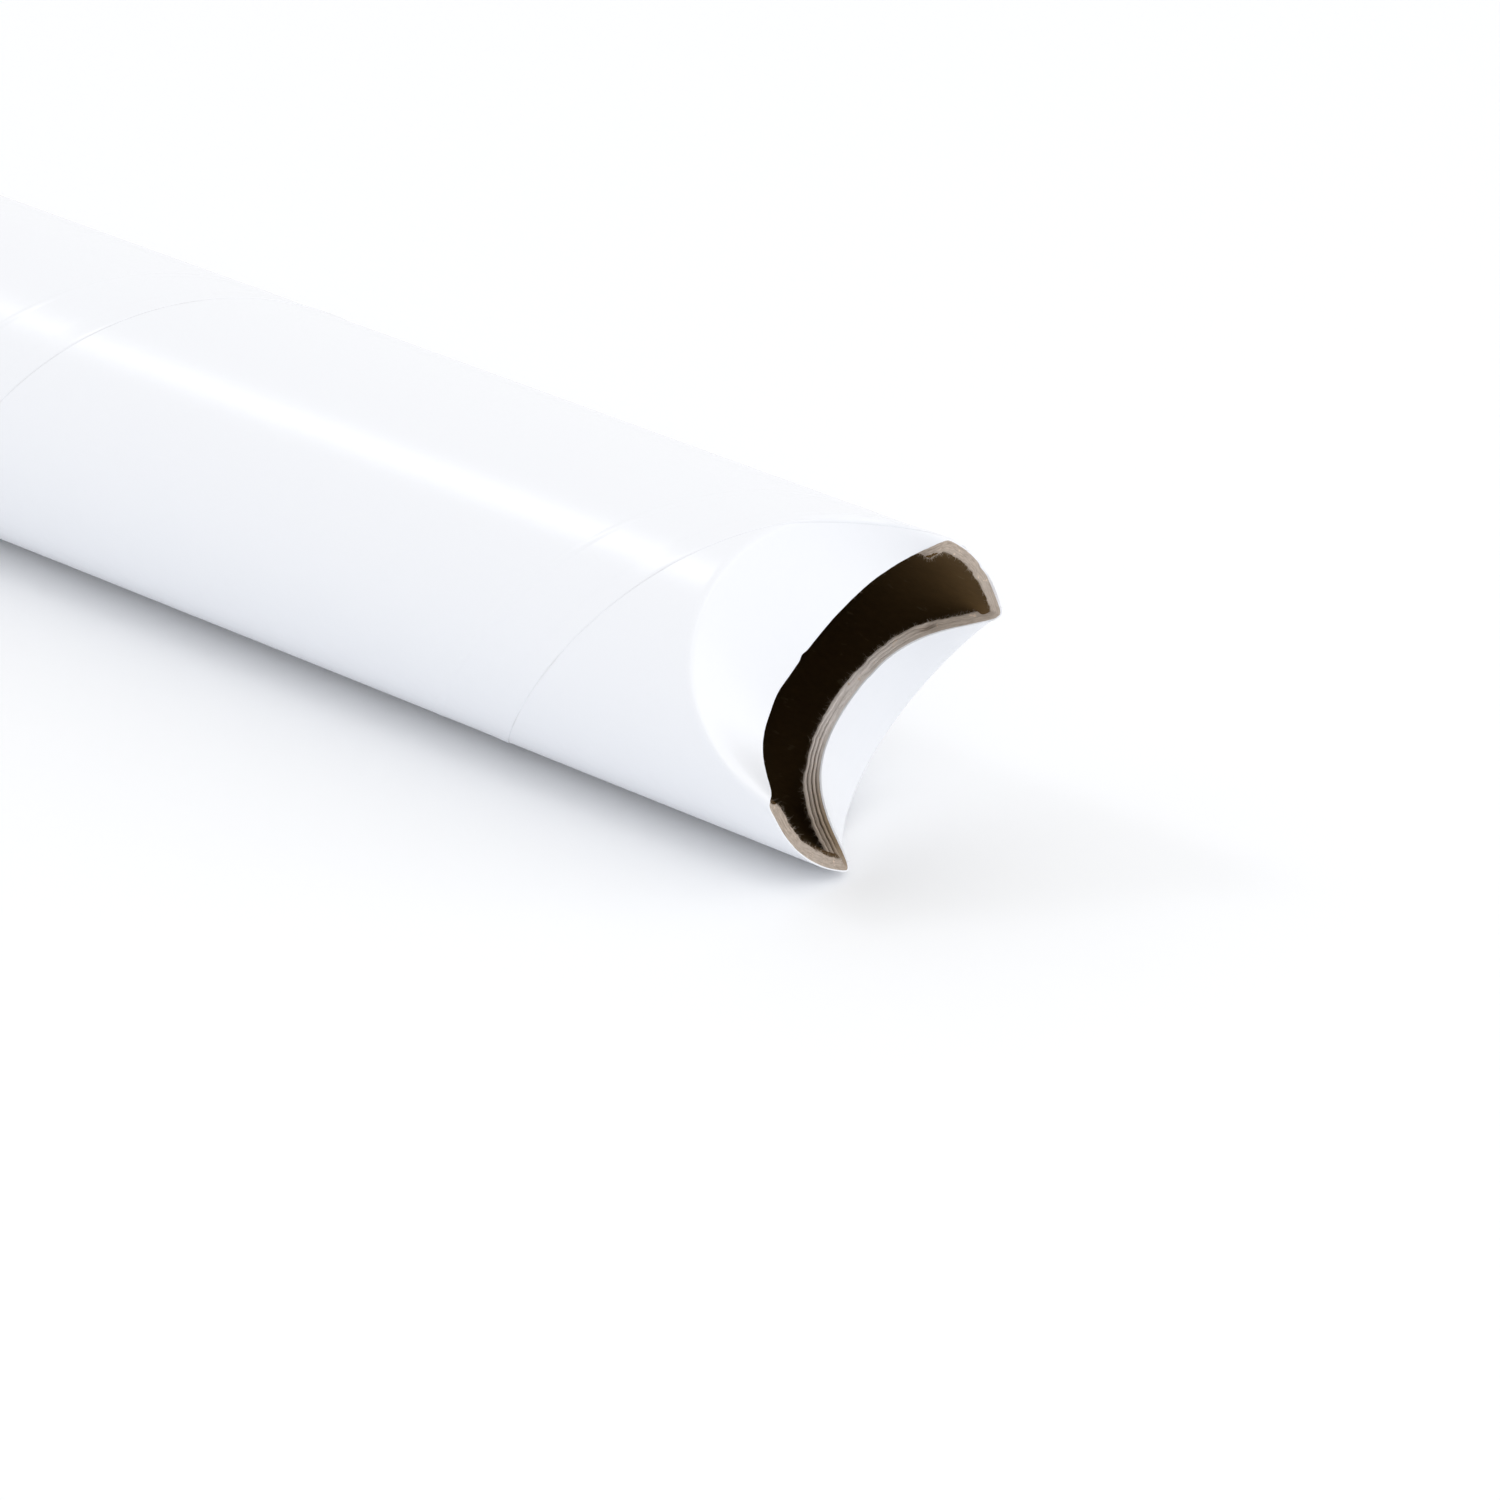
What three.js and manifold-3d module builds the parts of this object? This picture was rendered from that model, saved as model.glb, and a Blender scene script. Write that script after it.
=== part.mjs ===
import * as THREE from "three";
import { mergeVertices } from "three/addons/utils/BufferGeometryUtils.js";
import Module from "manifold-3d";

const wasm = await Module();
wasm.setup();

// Driving sizes of the paperboard tube, in millimetres
const innerDiameter = 50.8;
const wallThickness = 2.03;
const tubeLength = 304.8;
const wallFacets = 96;

// The two flaps pressed in at each end. A middle is the direction that flap faces, in degrees round
// the tube from straight up towards +Y. A half span is how far its crease reaches to either side of
// that, and a crease depth is how far the crease's middle lies back from the end, in millimetres.
const frontFlapMiddle = -43;
const frontFlapHalfSpan = 65.5;
const frontCreaseDepth = 20.2;
const backFlapMiddle = 136.2;
const backFlapHalfSpan = 62.5;
const backCreaseDepth = 20;

// Overlap that keeps two cutting faces from lying in one plane, in millimetres
const overlap = 0.05;

const outerRadius = innerDiameter / 2 + wallThickness;
const facetAngle = (2 * Math.PI) / wallFacets;
const axisHeight = outerRadius * Math.cos(facetAngle / 2);
const reach = 4 * outerRadius;
const flaps = [
  { middle: frontFlapMiddle, halfSpan: frontFlapHalfSpan, creaseDepth: frontCreaseDepth },
  { middle: backFlapMiddle, halfSpan: backFlapHalfSpan, creaseDepth: backCreaseDepth },
];

// Turns a closed three.js geometry, moved by a matrix, into a solid for the booleans.
function solidOf(geometry, matrix) {
  const bare = new THREE.BufferGeometry();
  bare.setAttribute("position", geometry.getAttribute("position").clone());
  bare.setIndex(geometry.index.clone());
  bare.applyMatrix4(matrix);
  const merged = mergeVertices(bare, 1e-4);
  const triVerts = new Uint32Array(merged.index.array);
  const flipped = matrix.determinant() < 0;
  for (let i = 0; flipped && i < triVerts.length; i += 3) {
    [triVerts[i], triVerts[i + 1]] = [triVerts[i + 1], triVerts[i]];
  }
  const vertProperties = new Float32Array(merged.getAttribute("position").array);
  return new wasm.Manifold(new wasm.Mesh({ numProp: 3, vertProperties, triVerts }));
}

// A round bar along X from one X to another, with a flat facet at its top and its bottom.
function bar(radius, fromX, toX) {
  const geometry = new THREE.CylinderGeometry(
    radius,
    radius,
    toX - fromX,
    wallFacets,
    1,
    false,
    facetAngle / 2,
  );
  geometry.rotateZ(-Math.PI / 2);
  geometry.translate((fromX + toX) / 2, 0, 0);
  return geometry;
}

// The plane that a flap's crease lies in, for the end at +X. Its normal points to the pressed side.
function creasePlane(flap) {
  const middle = THREE.MathUtils.degToRad(flap.middle);
  const outward = new THREE.Vector3(0, Math.sin(middle), Math.cos(middle));
  const corner = outerRadius * Math.cos(THREE.MathUtils.degToRad(flap.halfSpan));
  const slope = Math.atan2(flap.creaseDepth, outerRadius - corner);
  const normal = outward.clone().multiplyScalar(Math.sin(slope));
  normal.x = Math.cos(slope);
  const point = outward.multiplyScalar(corner);
  point.x = tubeLength / 2;
  return new THREE.Plane().setFromNormalAndCoplanarPoint(normal, point);
}

// The reflection across a plane, as a matrix.
function reflection(plane) {
  const { x, y, z } = plane.normal;
  const d = plane.constant;
  return new THREE.Matrix4().set(
    1 - 2 * x * x, -2 * x * y, -2 * x * z, -2 * x * d,
    -2 * x * y, 1 - 2 * y * y, -2 * y * z, -2 * y * d,
    -2 * x * z, -2 * y * z, 1 - 2 * z * z, -2 * z * d,
    0, 0, 0, 1,
  );
}

// A large block with one face in the plane, on the side the normal points to when side is 1 and on
// the other side when it is -1. With a shift, that face moves across the plane by as much.
function halfSpace(plane, side, shift) {
  const facing = plane.normal.clone().multiplyScalar(side);
  const near = plane.projectPoint(new THREE.Vector3(tubeLength / 2, 0, 0), new THREE.Vector3());
  const centre = near.addScaledVector(facing, reach / 2 - shift);
  const turn = new THREE.Quaternion().setFromUnitVectors(new THREE.Vector3(0, 0, 1), facing);
  const matrix = new THREE.Matrix4().compose(centre, turn, new THREE.Vector3(1, 1, 1));
  return { geometry: new THREE.BoxGeometry(2 * reach, 2 * reach, reach), matrix };
}

// Presses one flap into one end. A card cylinder can only fold in on a curve where the folded part
// is the mirror image of the cut-off part, so the flap is the tube's own wall, reflected across the
// crease plane. The board stays on the inner side of the reflected face and keeps its thickness.
function pressFlap(body, flap, endMatrix) {
  const endX = tubeLength / 2;
  const plane = creasePlane(flap);
  const mirrored = endMatrix.clone().multiply(reflection(plane));
  const place = ({ geometry, matrix }) =>
    solidOf(geometry, endMatrix.clone().multiply(matrix));
  const cutOff = place(halfSpace(plane, 1, 0));
  const inside = place(halfSpace(plane, -1, overlap));
  const backFace = solidOf(bar(outerRadius + wallThickness, endX - reach, endX), mirrored);
  const frontFace = solidOf(bar(outerRadius, endX - reach, endX + overlap), mirrored);
  const midWall = solidOf(bar(outerRadius - wallThickness / 2, endX - reach, endX), endMatrix);
  const blank = backFace.intersect(inside).intersect(midWall);
  const hollow = frontFace.intersect(inside);
  return body.add(blank).subtract(cutOff).subtract(hollow);
}

const straight = new THREE.Matrix4();
const outside = solidOf(bar(outerRadius, -tubeLength / 2, tubeLength / 2), straight);
const bore = solidOf(bar(innerDiameter / 2, -tubeLength / 2 - 1, tubeLength / 2 + 1), straight);
let tube = outside.subtract(bore);
for (const endMatrix of [straight, new THREE.Matrix4().makeScale(-1, 1, 1)]) {
  for (const flap of flaps) {
    tube = pressFlap(tube, flap, endMatrix);
  }
}

const { vertProperties, triVerts } = tube.getMesh();
const geometry = new THREE.BufferGeometry();
geometry.setAttribute("position", new THREE.BufferAttribute(vertProperties, 3));
geometry.setIndex(new THREE.BufferAttribute(triVerts, 1));
const card = new THREE.MeshStandardMaterial({
  color: 0xf2f4f7,
  roughness: 0.35,
  metalness: 0,
  flatShading: true,
});
const mailingTube = new THREE.Mesh(geometry, card);
mailingTube.name = "mailing_tube";
mailingTube.position.z = axisHeight;

const part = new THREE.Group();
part.name = "crimped_end_mailing_tube";
part.add(mailingTube);
export default part;
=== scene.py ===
import math

import bpy
import numpy as np
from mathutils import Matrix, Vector


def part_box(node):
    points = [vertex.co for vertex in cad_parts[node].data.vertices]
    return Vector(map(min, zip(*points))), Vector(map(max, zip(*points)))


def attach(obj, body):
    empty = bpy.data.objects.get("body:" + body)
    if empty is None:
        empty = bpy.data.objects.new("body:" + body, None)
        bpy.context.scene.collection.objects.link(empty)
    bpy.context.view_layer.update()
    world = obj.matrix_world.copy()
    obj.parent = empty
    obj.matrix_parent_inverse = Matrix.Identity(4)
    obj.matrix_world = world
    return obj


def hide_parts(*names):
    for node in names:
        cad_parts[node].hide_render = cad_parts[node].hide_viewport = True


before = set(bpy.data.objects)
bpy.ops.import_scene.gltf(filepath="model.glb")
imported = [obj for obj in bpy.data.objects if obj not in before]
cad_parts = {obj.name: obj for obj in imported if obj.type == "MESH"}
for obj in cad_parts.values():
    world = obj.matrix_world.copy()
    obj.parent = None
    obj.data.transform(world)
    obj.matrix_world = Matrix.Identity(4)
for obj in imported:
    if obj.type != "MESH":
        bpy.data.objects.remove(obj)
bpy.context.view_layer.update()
print("stage: frame loaded")

# The tube lies along X, its axis one radius above the floor
nodeLow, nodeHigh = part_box("mailing_tube")
halfLength = (nodeHigh.x - nodeLow.x) / 2
tubeRadius = (nodeHigh.z - nodeLow.z) / 2
circumference = 2 * math.pi * tubeRadius

# All lengths are in metres and all angles in degrees
wall = {
    "thickness": 0.00203,
    "linerThickness": 0.00024,
    "columns": 400,
    "endZone": 0.026,
    "endStep": 0.0005,
    "bodyStep": 0.0075,
    "boreEndStep": 0.0013,
    "boreBodyStep": 0.012,
    "waviness": 0.000022,
    "evenEnd": 0.01,
    "rimFade": 0.0015,
    "sharpAngle": 50,
}
# Each bulge of the wall as waves round the tube, waves along it, phase and share
bulges = [(3, 21, 0.4, 1.0), (5, -34, 0.0, 0.6)]

# middle and halfSpan go round the tube from straight up towards +Y. turn is how far a flap is bent
# in at its middle, and turnTerms change that towards its corners, in radians. flare is how much
# thicker the board has opened up at the cut, as a share of the wall.
frontFlap = {
    "middle": -42.4,
    "halfSpan": 73.25,
    "depth": 0.01923,
    "fullness": 0.456,
    "turn": 63.2,
    "turnTerms": (-0.293, 0.277, 0.3865, -0.63),
    "softness": 0.00112,
    "flare": 0.0,
}
backFlap = {
    "middle": 135.8,
    "halfSpan": 62.5,
    "depth": 0.02015,
    "fullness": -0.07,
    "turn": 71.7,
    "turnTerms": (0.075, 0.255, -0.064, -0.82),
    "softness": 0.00112,
    "flare": 0.28,
}
flaps = [frontFlap, backFlap]
turnReach = 1.15  # a flap's turn stops changing this far past its corners, in half spans

# Where a flap's flare lies: its shift round the tube, its fade in half spans, its depth from the cut
flareZone = {"shift": 8, "full": 0.55, "none": 0.9, "depth": 0.003}

# The board is crushed in the front flap's upper corner, where its cut edge turns up into view. The
# places are in half spans from the flap's middle.
crush = {"start": 0.58, "corner": 1.0, "end": 1.12, "depth": 0.0006}

# How the line through the board is found in a fold. Each pair is a shift round the tube and a weight.
mitre = {
    "sharpReach": 0.00025,
    "bluntReach": 0.0014,
    "bluntBlend": ((-0.003, 0.6), (-0.0015, 1.0), (0.0, 1.2), (0.0015, 1.0), (0.003, 0.6)),
    "evenBlend": ((-0.0009, 0.3), (0.0, 0.4), (0.0009, 0.3)),
    "limit": 0.76,
}

# The cut board: where it has split open between its plies, where it is pinched, where it is felted and
# painted lighter as painted light, and how uneven its inner edge is
board = {
    "plies": 4,
    "splitAt": 171,
    "splitWidth": 17,
    "splitSpread": 20,
    "splitFlare": 0.24,
    "splitDepth": 0.0007,
    "feltAndLightAt": 137,
    "feltAndLightWidth": 34,
    "pinchAt": 80,
    "pinchWidth": 6,
    "pinch": 0.2,
    "ragged": 0.085,
    "openDepth": 0.0016,
}


def smoothStep(low, high, value):
    t = np.clip((value - low) / (high - low), 0, 1)
    return t * t * (3 - 2 * t)


def angleFrom(psi, middle):
    return (psi - middle + math.pi) % (2 * math.pi) - math.pi


def backFromEnd(x):
    return halfLength - np.abs(x)


def unit(vectors):
    return vectors / np.maximum(np.linalg.norm(vectors, axis=-1, keepdims=True), 1e-12)


def hump(psi, middle, width):
    # One at an angle round the tube, falling smoothly to none on both sides
    apart = np.degrees(angleFrom(psi, math.radians(middle))) / width
    return np.exp(-(apart**2))


def waves(seed, arc, count, longest, shortest):
    # A smooth random curve round the tube, about one high, from sine waves that close on themselves.
    # count is how many there are, between the longest and the shortest.
    rng = np.random.default_rng(seed)
    lengths = np.geomspace(longest, shortest, count)
    total = np.zeros_like(arc)
    for length in lengths:
        turns = max(1, round(circumference / length))
        phase = rng.uniform(0, 2 * math.pi)
        weight = (length / longest) ** 0.35 * rng.uniform(0.6, 1.0)
        total += weight * np.sin(turns * arc / tubeRadius + phase)
    return total / math.sqrt(count)


# Where the wall's outer face goes when the ends are pressed in. x runs along the unpressed tube and
# psi round it. Beyond a curved crease the wall turns in about the crease, keeping its own length.
def outerFace(x, psi):
    side = np.where(x >= 0, 1.0, -1.0)
    back = backFromEnd(x)
    ripple = np.zeros(np.broadcast(x, psi).shape)
    for wavesRound, wavesAlong, phase, share in bulges:
        ripple = ripple + share * np.sin(wavesRound * psi + wavesAlong * x + phase)
    radius = tubeRadius + wall["waviness"] * (ripple * smoothStep(0, wall["evenEnd"], back) - 1.0)
    px = np.abs(x)
    py = radius * np.sin(psi)
    pz = radius * np.cos(psi)
    for flap in flaps:
        middle = math.radians(flap["middle"])
        span = math.radians(flap["halfSpan"])
        phi = angleFrom(psi, middle)
        share = (np.cos(phi) - math.cos(span)) / (1 - math.cos(span))
        crease = flap["depth"] * (share + flap["fullness"] * share * (1 - share))
        past = crease - back
        soft = flap["softness"]
        bent = np.where(past > soft, past, np.clip(past + soft, 0, None) ** 2 / (4 * soft))
        near = np.clip(phi, -span * turnReach, span * turnReach)
        turn = math.radians(flap["turn"])
        for power, term in enumerate(flap["turnTerms"]):
            turn = turn + term * near ** (power + 1)
        px = px + bent * (np.cos(turn) - 1)
        py = py - bent * np.sin(turn) * math.sin(middle)
        pz = pz - bent * np.sin(turn) * math.cos(middle)
    return np.stack([px * side, py, pz + tubeRadius], -1)


def faceNormal(x, psi, reach):
    turned = reach / tubeRadius
    alongTube = outerFace(x + reach, psi) - outerFace(x - reach, psi)
    aroundTube = outerFace(x, psi + turned) - outerFace(x, psi - turned)
    return unit(np.cross(alongTube, aroundTube))


def crushedAt(x, psi):
    place = angleFrom(psi, math.radians(frontFlap["middle"])) / math.radians(frontFlap["halfSpan"])
    rise = smoothStep(crush["start"], crush["corner"], place)
    fall = 1 - smoothStep(crush["corner"], crush["end"], place)
    return rise * fall * np.exp(-((backFromEnd(x) / crush["depth"]) ** 2))


# The direction through the board from its outer face, and how much further that is than straight
# in. In a fold it follows the mitre line, so that the inner face doesn't run through itself.
def mitreLine(x, psi):
    sharp = faceNormal(x, psi, mitre["sharpReach"])
    blunt = np.zeros_like(sharp)
    for shift, weight in mitre["bluntBlend"]:
        blunt = blunt + weight * faceNormal(x, psi + shift / tubeRadius, mitre["bluntReach"])
    crushed = crushedAt(x, psi)[..., None]
    outwards = np.stack([np.zeros_like(psi), np.sin(psi), np.cos(psi)], -1)
    blunt = unit(unit(blunt) * (1 - crushed) + outwards * crushed)
    return blunt / np.clip((sharp * blunt).sum(-1, keepdims=True), mitre["limit"], 1)


# A step inwards through the board, one long where the board has its plain thickness. It is evened
# out over two millimetres round the tube. The plies of a flared flap spread towards the cut.
def inwardStep(x, psi):
    line = np.zeros(np.shape(psi) + (3,))
    for shift, weight in mitre["evenBlend"]:
        line = line + weight * mitreLine(x, psi + shift / tubeRadius)
    spread = np.ones(np.shape(psi))
    for flap in flaps:
        apart = np.abs(angleFrom(psi, math.radians(flap["middle"] + flareZone["shift"])))
        place = apart / math.radians(flap["halfSpan"])
        inFlap = 1 - smoothStep(flareZone["full"], flareZone["none"], place)
        spread = spread + flap["flare"] * inFlap * np.exp(-backFromEnd(x) / flareZone["depth"])
    opened = board["splitFlare"] * hump(psi, board["splitAt"], board["splitSpread"])
    pinched = board["pinch"] * hump(psi, board["pinchAt"], board["pinchWidth"])
    ragged = board["ragged"] * waves(31, psi * tubeRadius, 22, 0.012, 0.0007)
    atCut = np.exp(-backFromEnd(x) / board["openDepth"])
    spread = spread + atCut * (opened + ragged - pinched)
    return -line * spread[..., None]


def rowsFor(endStep, bodyStep):
    zone = wall["endZone"]
    endRows = np.linspace(halfLength, halfLength - zone, round(zone / endStep) + 1)
    bodyCount = 2 * round((halfLength - zone) / bodyStep)
    bodyRows = np.linspace(halfLength - zone, zone - halfLength, bodyCount + 1)[1:-1]
    return np.concatenate([-endRows, -bodyRows, endRows[::-1]])


# Nicks and chips in the rim. at is the angle round the tube and width the mark's half width, both
# in degrees.
rimMarks = [
    {"side": 1, "at": -44.0, "width": 1.5, "depth": 0.0003},
    {"side": 1, "at": -58.0, "width": 5.0, "depth": 0.00025},
    {"side": 1, "at": 53.0, "width": 2.2, "depth": 0.0004},
    {"side": 1, "at": 123.0, "width": 2.0, "depth": 0.00025},
    {"side": -1, "at": 47.0, "width": 2.5, "depth": 0.0003},
    {"side": -1, "at": 228.0, "width": 3.5, "depth": 0.0004},
]
# Places where only the board under the liner has broken away. share and reach go through the board.
boardMarks = [
    {"side": 1, "at": 64.0, "width": 8.0, "share": 0.3, "reach": 0.6, "depth": 0.0005},
    {"side": 1, "at": 101.0, "width": 1.8, "share": 0.72, "reach": 0.16, "depth": 0.0012},
    {"side": -1, "at": 150.0, "width": 2.2, "share": 0.6, "reach": 0.2, "depth": 0.0009},
]


# The saw's cut: how far it wanders, how unevenly it leaves the plies, how wide and deep their joints
# are open, and how it rounds the liner's lip and frays the inner edge. The split is widest at one
# joint, counted from the liner, and smaller at the far end.
sawCut = {
    "wander": 0.00006,
    "plyUneven": 0.000055,
    "jointWidth": 0.12,
    "jointDepth": 0.00016,
    "openMean": 0.12,
    "openVaries": 0.3,
    "openLeast": 0.05,
    "splitJoint": 2,
    "splitElsewhere": 0.45,
    "farEndSplit": 0.4,
    "lipRound": 0.00005,
    "frayDepth": 0.00018,
    "frayStart": 0.9,
}


def rimWander(side, psi):
    # How far the cut stands back from the nominal end at each place round the rim
    wander = sawCut["wander"] * (1 + waves(11 + side, psi * tubeRadius, 9, 0.04, 0.0015))
    for mark in rimMarks:
        if mark["side"] == side:
            wander = wander + mark["depth"] * hump(psi, mark["at"], mark["width"])
    return np.clip(wander, 0, None)


def gridOf(rows, psi):
    x, angle = np.meshgrid(rows, psi, indexing="ij")
    for side in (-1, 1):
        fade = np.exp(-(halfLength - x * side) / wall["rimFade"])
        x = x - side * fade * rimWander(side, angle)
    return x, angle


# Depths through the cut board, as shares of the wall, with narrow rows beside the joints of its plies
plyCount = board["plies"]
linerShare = wall["linerThickness"] / wall["thickness"]
lipShare = 0.035
plyShare = (1 - linerShare) / plyCount
cutDepths = [0.0, lipShare, linerShare]
for ply in range(plyCount):
    cutDepths += [linerShare + plyShare * (ply + part) for part in (0.10, 0.32, 0.6, 0.9, 1.0)]
cutDepths = np.array(cutDepths)
linerRows = 2  # the first two steps through the board are the liner's own thickness


# How far a point on the cut stands back from its rim. The plies are sawn a little unevenly, their
# joints are open in places, and the back flap's lower corner has split open furthest.
def cutRelief(side, psi, depthShare):
    arc = psi * tubeRadius
    inPly = np.clip((depthShare - linerShare) / (1 - linerShare), 0, 1) * plyCount
    ply = np.floor(np.clip(inPly, 0, plyCount - 1e-6)).astype(int)
    joint = np.round(inPly)
    nearJoint = np.exp(-(((inPly - joint) / sawCut["jointWidth"]) ** 2))
    nearJoint = nearJoint * ((inPly > 0.3) & (inPly < plyCount - 0.3))
    split = hump(psi, board["splitAt"], board["splitWidth"])
    split = split * (1.0 if side > 0 else sawCut["farEndSplit"])
    relief = np.zeros_like(psi)
    for index in range(plyCount):
        own = waves(40 + 7 * index + side, arc, 12, 0.03, 0.0011)
        relief = relief + (ply == index) * sawCut["plyUneven"] * (own + 1)
    openness = sawCut["openMean"] + sawCut["openVaries"] * waves(90 + side, arc, 7, 0.05, 0.004)
    openness = np.clip(openness, sawCut["openLeast"], None)
    relief = relief + nearJoint * sawCut["jointDepth"] * openness
    gape = np.where(joint == sawCut["splitJoint"], 1.0, sawCut["splitElsewhere"])
    relief = relief + nearJoint * board["splitDepth"] * split * gape
    for mark in boardMarks:
        if mark["side"] == side:
            deep = (depthShare - mark["share"]) / mark["reach"]
            broken = hump(psi, mark["at"], mark["width"]) * np.exp(-(deep**2))
            relief = relief + mark["depth"] * broken
    lipRound = sawCut["lipRound"] * (1 - smoothStep(0.0, 0.05, depthShare))
    fray = 1 + waves(77 + side, arc, 14, 0.02, 0.0009)
    fray = np.clip(smoothStep(sawCut["frayStart"], 1.0, depthShare) * fray, 0, None)
    underLiner = smoothStep(0.03, linerShare, depthShare)
    return relief * underLiner + lipRound + sawCut["frayDepth"] * fray


def cutSurface(side, psi, depthShare):
    wander = rimWander(side, psi)
    x = side * (halfLength - wander - cutRelief(side, psi, depthShare))
    # The step inwards is taken at the rim itself, so that all depths of one place share one line
    step = inwardStep(side * (halfLength - wander), psi)
    return outerFace(x, psi) + step * (depthShare * wall["thickness"])[..., None]


def smoothAngles(obj, angle):
    obj.data.shade_smooth()
    obj.data.set_sharp_from_angle(angle=math.radians(angle))


def meshFrom(name, vertices, quads, uvSets, slots, materials):
    mesh = bpy.data.meshes.new(name)
    mesh.vertices.add(len(vertices))
    mesh.vertices.foreach_set("co", vertices.astype(np.float32).ravel())
    mesh.loops.add(quads.size)
    mesh.loops.foreach_set("vertex_index", quads.astype(np.int32).ravel())
    mesh.polygons.add(len(quads))
    mesh.polygons.foreach_set("loop_start", np.arange(0, quads.size, 4, dtype=np.int32))
    mesh.polygons.foreach_set("material_index", slots.astype(np.int32))
    mesh.update(calc_edges=True)
    for uvName, values in uvSets.items():
        layer = mesh.uv_layers.new(name=uvName)
        layer.data.foreach_set("uv", values.astype(np.float32).ravel())
    mesh.validate()
    for material in materials:
        mesh.materials.append(material)
    obj = bpy.data.objects.new(name, mesh)
    bpy.context.scene.collection.objects.link(obj)
    return obj


def quadStrip(grid, wrap=True):
    # Quads over a grid of vertex numbers, rows by columns
    follow = np.roll(grid, -1, axis=1) if wrap else grid[:, 1:]
    own = grid if wrap else grid[:, :-1]
    return np.stack([own[:-1], own[1:], follow[1:], follow[:-1]], -1).reshape(-1, 4)


def quadUvs(rowValues, columnValues, lastColumn):
    # Two numbers for each corner of each quad: the column's value and the row's value
    nextColumn = np.append(columnValues[1:], lastColumn)
    low, high = rowValues[:-1, None], rowValues[1:, None]
    own, follow = columnValues[None, :], nextColumn[None, :]
    shape = (len(rowValues) - 1, len(columnValues))
    corners = [(own, low), (own, high), (follow, high), (follow, low)]
    pairs = []
    for across, along in corners:
        pairs.append(np.stack([np.broadcast_to(across, shape), np.broadcast_to(along, shape)], -1))
    return np.stack(pairs, 2).reshape(-1, 4, 2)


def makeTubeWall(materials):
    psi = np.linspace(0, 2 * math.pi, wall["columns"], endpoint=False)
    arcs = psi * tubeRadius
    outerRows = rowsFor(wall["endStep"], wall["bodyStep"])
    boreRows = rowsFor(wall["boreEndStep"], wall["boreBodyStep"])
    outerX, outerPsi = gridOf(outerRows, psi)
    boreX, borePsi = gridOf(boreRows, psi)
    outer = outerFace(outerX, outerPsi)
    bore = outerFace(boreX, borePsi) + inwardStep(boreX, borePsi) * wall["thickness"]
    cuts = {}
    for side, row in ((1, -1), (-1, 0)):
        share, angle = np.meshgrid(cutDepths[1:-1], psi, indexing="ij")
        cuts[side] = cutSurface(side, angle, share)
        bore[row] = cutSurface(side, psi, np.ones_like(psi))
        outer[row] = cutSurface(side, psi, np.zeros_like(psi))
    blocks = [outer, bore, cuts[1], cuts[-1]]
    ids = []
    made = 0
    for block in blocks:
        count = block.shape[0] * block.shape[1]
        ids.append(made + np.arange(count).reshape(block.shape[:2]))
        made += count
    outerIds, boreIds, openCut, hiddenCut = ids
    quads, sheet, cutUv, slots = [], [], [], []

    def add(faces, sheetUv, depthUv, slot, flip):
        if flip:
            faces, sheetUv, depthUv = faces[:, ::-1], sheetUv[:, ::-1], depthUv[:, ::-1]
        quads.append(faces)
        sheet.append(sheetUv)
        cutUv.append(depthUv)
        slots.append(np.full(len(faces), slot))

    outerUv = quadUvs(outerRows, arcs, circumference)
    boreUv = quadUvs(boreRows, arcs, circumference)
    depthUv = quadUvs(cutDepths, arcs, circumference)
    add(quadStrip(outerIds), outerUv, np.zeros_like(outerUv), 0, False)
    add(quadStrip(boreIds), boreUv, np.ones_like(boreUv), 2, True)
    for side, cut, row in ((1, openCut, -1), (-1, hiddenCut, 0)):
        stack = np.concatenate([outerIds[row][None], cut, boreIds[row][None]])
        endUv = quadUvs(np.full(len(cutDepths), side * halfLength), arcs, circumference)
        faces = quadStrip(stack)
        liner = slice(0, linerRows * len(psi))
        plies = slice(linerRows * len(psi), None)
        add(faces[liner], endUv[liner], depthUv[liner], 0, side < 0)
        add(faces[plies], endUv[plies], depthUv[plies], 1, side < 0)
    vertices = np.concatenate([block.reshape(-1, 3) for block in blocks])
    uvSets = {"sheet": np.concatenate(sheet), "cut": np.concatenate(cutUv)}
    faces = np.concatenate(quads)
    obj = meshFrom("tube_wall", vertices, faces, uvSets, np.concatenate(slots), materials)
    smoothAngles(obj, wall["sharpAngle"])
    return obj


# The liner is a strip wound round the tube. Its lap edge stands proud as a fine step, and the joint
# of the ply below shows through it as a soft ridge.
winding = {
    "pitch": 0.1396,
    "frontAt": 300.7,
    "lapStart": -0.0354,
    "ridgeStart": -0.1914,
    "ridgeWidth": 0.0026,
    "ridgeHeight": 0.00007,
    "ridgeLines": 9,
    "step": 0.0009,
    "endGap": 0.0002,
    "pastEnd": 0.004,
    "normalReach": 0.0004,
    "sharpAngle": 40,
}
# The lap's section: how far each line of it lies from the joint, and how far off the wall
lapSection = [
    (-0.0062, -0.00002),
    (-0.0045, 0.00001),
    (-0.0025, 0.00004),
    (-0.0009, 0.00012),
    (-0.00025, 0.00012),
    (-0.00006, 0.00008),
    (0.0, -0.00002),
]


def helixStart(offset):
    # Where the helix would cross straight up, from where it crosses the side that faces the front
    return (halfLength + offset - winding["pitch"] * winding["frontAt"] / 360) % winding["pitch"]


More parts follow.
